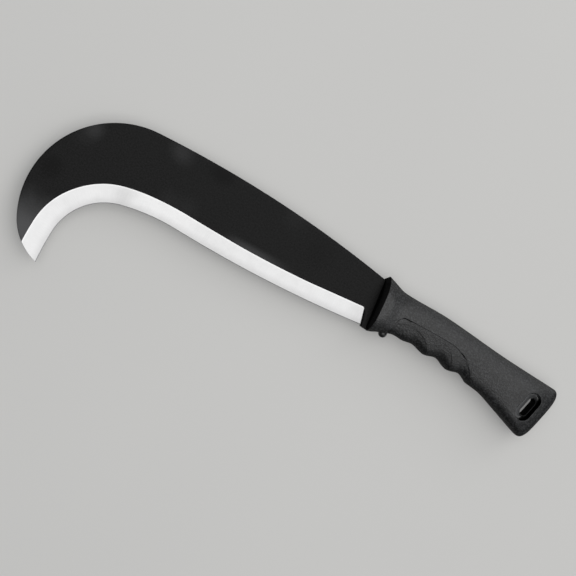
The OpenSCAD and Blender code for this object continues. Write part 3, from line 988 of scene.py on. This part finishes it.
def moulded_material(name, tint, grain_size, mottle, roughness, bump, gloss=0.5):
    """Black moulded plastic or rubber with a fine grain.

    Its sheen is cut as painted shade where it turns away at a grazing angle, on the underside, on the butt's
    end and on the top behind the guard.
    """
    material, tree, shader, place = new_material(name)
    grain = bpy.data.node_groups.get("Moulded grain") or moulded_grain_group()
    tone = add(tree, "Group", {
        "Place": place, "Colour": (*tint, 1.0), "Grain per metre": 1 / (MM * grain_size), "Mottle": mottle,
        "Roughness": roughness}, "Colour", node_tree=grain)
    normal_x = add(tree, "SeparateXYZ", {0: place.beside("Normal")}, "X")
    normal_y = normal_x.beside("Y")
    along_grip = add(tree, "SeparateXYZ", {0: place}, "X")
    # Painted shade: the sheen is cut at grazing angles, on the underside, on the butt's end and on the top
    # behind the guard
    shine = add(tree, "LayerWeight", output="Facing").ramp(0.4, 0.75, gloss, 0.25 * gloss)
    shine *= normal_y.ramp(-0.75, -0.2, 0.15, 1.0)
    shine *= 1.0 - along_grip.ramp(0.105, 0.13) * normal_x.ramp(0.03, 0.4, 0.0, 0.75)
    shine *= 1.0 - along_grip.ramp(0.026, 0.010) * normal_y.ramp(0.0, 0.4, -0.2, 0.35)
    ripple = add(tree, "Bump", {"Strength": 0.6, "Distance": bump, "Height": tone.beside("Height")})
    plug(shader, {"Base Color": tone, "Roughness": tone.beside("Roughness"), "Normal": ripple,
                  "Specular IOR Level": shine})
    return material


def shader_and_tone(material):
    """A material's shader and the colour that goes into it."""
    shader = material.node_tree.nodes["Principled BSDF"]
    return shader, Value(shader.inputs["Base Color"].links[0].from_socket)


def recess_material(f):
    """Smooth plastic of the recess, painted grey as light on the guard's side, which faces the light, and
    painted deep black as shade elsewhere.
    """
    material = moulded_material("Smooth recess", f.hard_plastic, f.grain_size, 0.2, 0.3, 0.00003)
    shader, tone = shader_and_tone(material)
    lit_side_share = attribute(material.node_tree, "lit_side_share")
    # Painted light and shade: the lit side is lightened grey and the rest is painted deep black, with its
    # sheen cut to match
    lit = lit_side_share.ramp(0.0, 0.3, 0.04, 1.0)
    plug(shader, {"Base Color": lit.scaled(lit_side_share.between(tone, (0.075, 0.076, 0.078, 1))),
                  "Specular IOR Level": lit * 0.5})
    return material


def sleeve_material(f):
    """Black plastic, painted grey as light on the sleeve's rims where they face the light, and painted deep
    black as shade in its bore.
    """
    material = moulded_material("Sleeve plastic, painted light", f.sleeve_plastic, f.grain_size, 0.1, 0.7, 0.00002, 0.06)
    shader, tone = shader_and_tone(material)
    rim = attribute(material.node_tree, "rim")
    # Painted shade in the bore: deep black. Painted light on the rims: the grey colour
    plug(shader, {"Base Color": rim.between((0.0008, 0.0008, 0.0009, 1), tone)})
    return material


def floor_material(f, glow):
    """Plain pale floor with the faintest mottle. The camera and reflections see it partly as plain white."""
    material, tree, shader, place = new_material("Pale floor")
    shade = place.noise(3.0).ramp(0.2, 0.8, 0.985, 1.015)
    plug(shader, {"Base Color": shade.scaled(f.floor), "Roughness": 0.9, "Specular IOR Level": 0.1})
    seen = add(tree, "LightPath", output="Is Camera Ray")
    seen = seen.at_least(seen.beside("Is Glossy Ray").at_least(seen.beside("Is Transmission Ray")))
    white = add(tree, "Emission", {"Color": (0.97, 0.97, 0.965, 1), "Strength": 1.0})
    both = add(tree, "MixShader", {0: seen * glow, 1: Value(shader.outputs[0]), 2: white})
    plug(tree.nodes["Material Output"], {"Surface": both})
    return material


# Operators

class SICKLE_OT_stage(Operator):
    """Set up the camera, the soft studio light and the pale floor"""

    bl_idname = "sickle.stage"
    bl_label = "Stage"

    def execute(self, context):
        s = settings(context)
        scene = context.scene
        scene.view_settings.view_transform = "Standard"
        # The main view: directions of its right and up, and the point that the camera looks at
        right = Vector((0.83105, 0.54455, 0.11323))
        up = Vector((-0.53651, 0.83853, -0.09501))
        back = right.cross(up).normalized()
        up = back.cross(right).normalized()
        aim = Vector((-62.0, -26.0, 13.0)) * MM
        eye = aim + back * s.studio.distance * MM
        data = bpy.data.cameras.new("Camera")
        data.lens, data.sensor_width = s.studio.lens, 36.0
        data.clip_start, data.clip_end = 0.02, 50
        camera = bpy.data.objects.new("Camera", data)
        camera.matrix_world = Matrix.Translation(eye) @ Matrix((right, up, back)).transposed().to_4x4()
        scene.collection.objects.link(camera)
        scene.camera = camera

        def softbox(name, place, aim_at, size, radiance, tint):
            """A square light at a place, turned to a point, whose power gives this radiance."""
            light = bpy.data.lights.new(name, "AREA")
            light.shape, light.size = "SQUARE", size
            light.energy = radiance * np.pi * size * size
            light.color = tint
            lamp = bpy.data.objects.new(name, light)
            lamp.location = place
            lamp.rotation_mode = "QUATERNION"
            lamp.rotation_quaternion = (Vector(place) - Vector(aim_at)).to_track_quat("Z", "Y")
            scene.collection.objects.link(lamp)

        studio = s.studio
        softbox("Overhead softbox", (0.15, 0.25, 1.7), (-0.05, 0.1, 0), 2.2, studio.overhead, (1, 0.99, 0.97))
        softbox("Side softbox", (0.45, 1.5, 0.95), (-0.05, 0, 0), 0.9, studio.key, (1, 0.995, 0.98))

        world = bpy.data.worlds.new("Soft surroundings")
        scene.world = world
        world.use_nodes = True
        tree = world.node_tree
        # The surroundings grow brighter towards the side softbox
        direction = add(tree, "TexCoord", output="Generated")
        towards = add(tree, "VectorMath", {0: direction, 1: (0.42, 0.78, 0.46)}, "Value",
                      operation="DOT_PRODUCT")
        strength = towards.ramp(-0.5, 1.0, 0.0, studio.glow) + studio.sky
        plug(tree.nodes["Background"], {"Color": (0.93, 0.96, 1.0, 1), "Strength": strength})

        a = np.linspace(0, 2 * np.pi, 64, endpoint=False)
        disc = np.stack([4 * np.cos(a), 4 * np.sin(a), 0 * a], 1)
        mesh = bpy.data.meshes.new("Floor")
        mesh.from_pydata(disc.tolist(), [], [list(range(64))])
        mesh.materials.append(floor_material(s.finishes, s.studio.floor_glow))
        floor = bpy.data.objects.new("Floor", mesh)
        scene.collection.objects.link(floor)
        return {"FINISHED"}


class SICKLE_OT_blade(Operator):
    """Build the coated blade with its ground bevel"""

    bl_idname = "sickle.blade"
    bl_label = "Blade"

    def execute(self, context):
        s = settings(context)
        points, along, from_edge, from_shoulder = blade_surface(s.blade, s.handle.flat_thickness / 2)
        piece = make_piece("blade_steel", points, values={
            "along": along * MM, "from_edge": from_edge * MM, "from_shoulder": from_shoulder * MM})
        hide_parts("blade")
        piece.data.materials.append(blade_material(s.finishes))
        return {"FINISHED"}


class SICKLE_OT_handle(Operator):
    """Build the moulded handle with its guard, its stop and its lanyard recess"""

    bl_idname = "sickle.handle"
    bl_label = "Handle"

    def execute(self, context):
        s = settings(context)
        f = s.finishes
        k = handle_lines(s)
        body = make_piece("handle_shell", *handle_surface(k, s.lanyard, s.grip))
        body.data.materials.append(
            moulded_material("Hard moulded plastic", f.hard_plastic, f.grain_size, 1.1, 0.48, 0.0009, 0.57))
        # Second material: painted shade on the guard's front face, near black and with little sheen
        body.data.materials.append(
            moulded_material("Guard face shade", f.guard_face, f.grain_size, 0.3, 0.8, 0.0001, 0.1))
        body.data.materials.append(recess_material(f))
        paint_masked(body.data, ("guard_face", "recess"))
        knob = make_piece("guard_stop", stop_surface(k, s.handle.stop_radius))
        knob.data.materials.append(
            moulded_material("Smooth moulding", f.hard_plastic, f.grain_size, 0.2, 0.34, 0.00003))
        for piece in (body, knob):
            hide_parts("handle_body")
        return {"FINISHED"}


class SICKLE_OT_grip(Operator):
    """Build the soft finger grip with its three hollows"""

    bl_idname = "sickle.grip"
    bl_label = "Finger grip"

    def execute(self, context):
        s = settings(context)
        f = s.finishes
        piece = make_piece("soft_finger_grip", grip_surface(handle_lines(s), s.grip))
        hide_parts("finger_grip")
        piece.data.materials.append(
            moulded_material("Soft grip rubber", f.soft_rubber, f.grain_size, 1.1, 0.5, 0.0009, 0.55))
        return {"FINISHED"}


class SICKLE_OT_sleeve(Operator):
    """Build the lanyard sleeve"""

    bl_idname = "sickle.sleeve"
    bl_label = "Lanyard sleeve"

    def execute(self, context):
        s = settings(context)
        k = handle_lines(s)
        rings, normal = sleeve_surface(k, s.lanyard)
        rows, columns = rings.shape[:2]
        # Painted light: the rims are grey at full strength on the guard's side, which faces the light, and
        # mostly painted black elsewhere
        on_rim = np.abs(rings[..., 2] - k.mid_z) > s.lanyard.sleeve_length / 2 - 0.1
        piece = make_piece("lanyard_bush", rings, ring_quads(rows + 1, columns) % (rows * columns),
                           {"rim": on_rim * np.where(normal[:, :1] < -0.5, 1.0, 0.2)})
        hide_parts("lanyard_sleeve")
        piece.data.materials.append(sleeve_material(s.finishes))
        return {"FINISHED"}


class SICKLE_PT_panel(Panel):
    """Sizes, colours and build buttons of the sickle"""

    bl_idname = "SICKLE_PT_panel"
    bl_label = "Sickle"
    bl_space_type = "VIEW_3D"
    bl_region_type = "UI"
    bl_category = "Sickle"

    def draw(self, context):
        for operator in OPERATORS:
            self.layout.operator(operator.bl_idname)
        for part in PARTS:
            group = getattr(context.scene.sickle, part)
            box = self.layout.box()
            box.label(text=part.capitalize())
            for prop in group.bl_rna.properties:
                if prop.type == "FLOAT":
                    box.prop(group, prop.identifier)


OPERATORS = (SICKLE_OT_stage, SICKLE_OT_blade, SICKLE_OT_handle, SICKLE_OT_grip, SICKLE_OT_sleeve)
CLASSES = (BladeSizes, HandleSizes, GripSizes, LanyardSizes, Finishes, Studio, SickleSettings) + OPERATORS + (
    SICKLE_PT_panel,)


def register():
    for cls in CLASSES:
        bpy.utils.register_class(cls)
    bpy.types.Scene.sickle = PointerProperty(type=SickleSettings)


def unregister():
    del bpy.types.Scene.sickle
    for cls in reversed(CLASSES):
        bpy.utils.unregister_class(cls)


def main():
    """Build everything in order."""
    register()
    bpy.ops.sickle.stage()
    bpy.ops.sickle.blade()
    bpy.ops.sickle.handle()
    bpy.ops.sickle.grip()
    bpy.ops.sickle.sleeve()


if __name__ == "__main__":
    main()
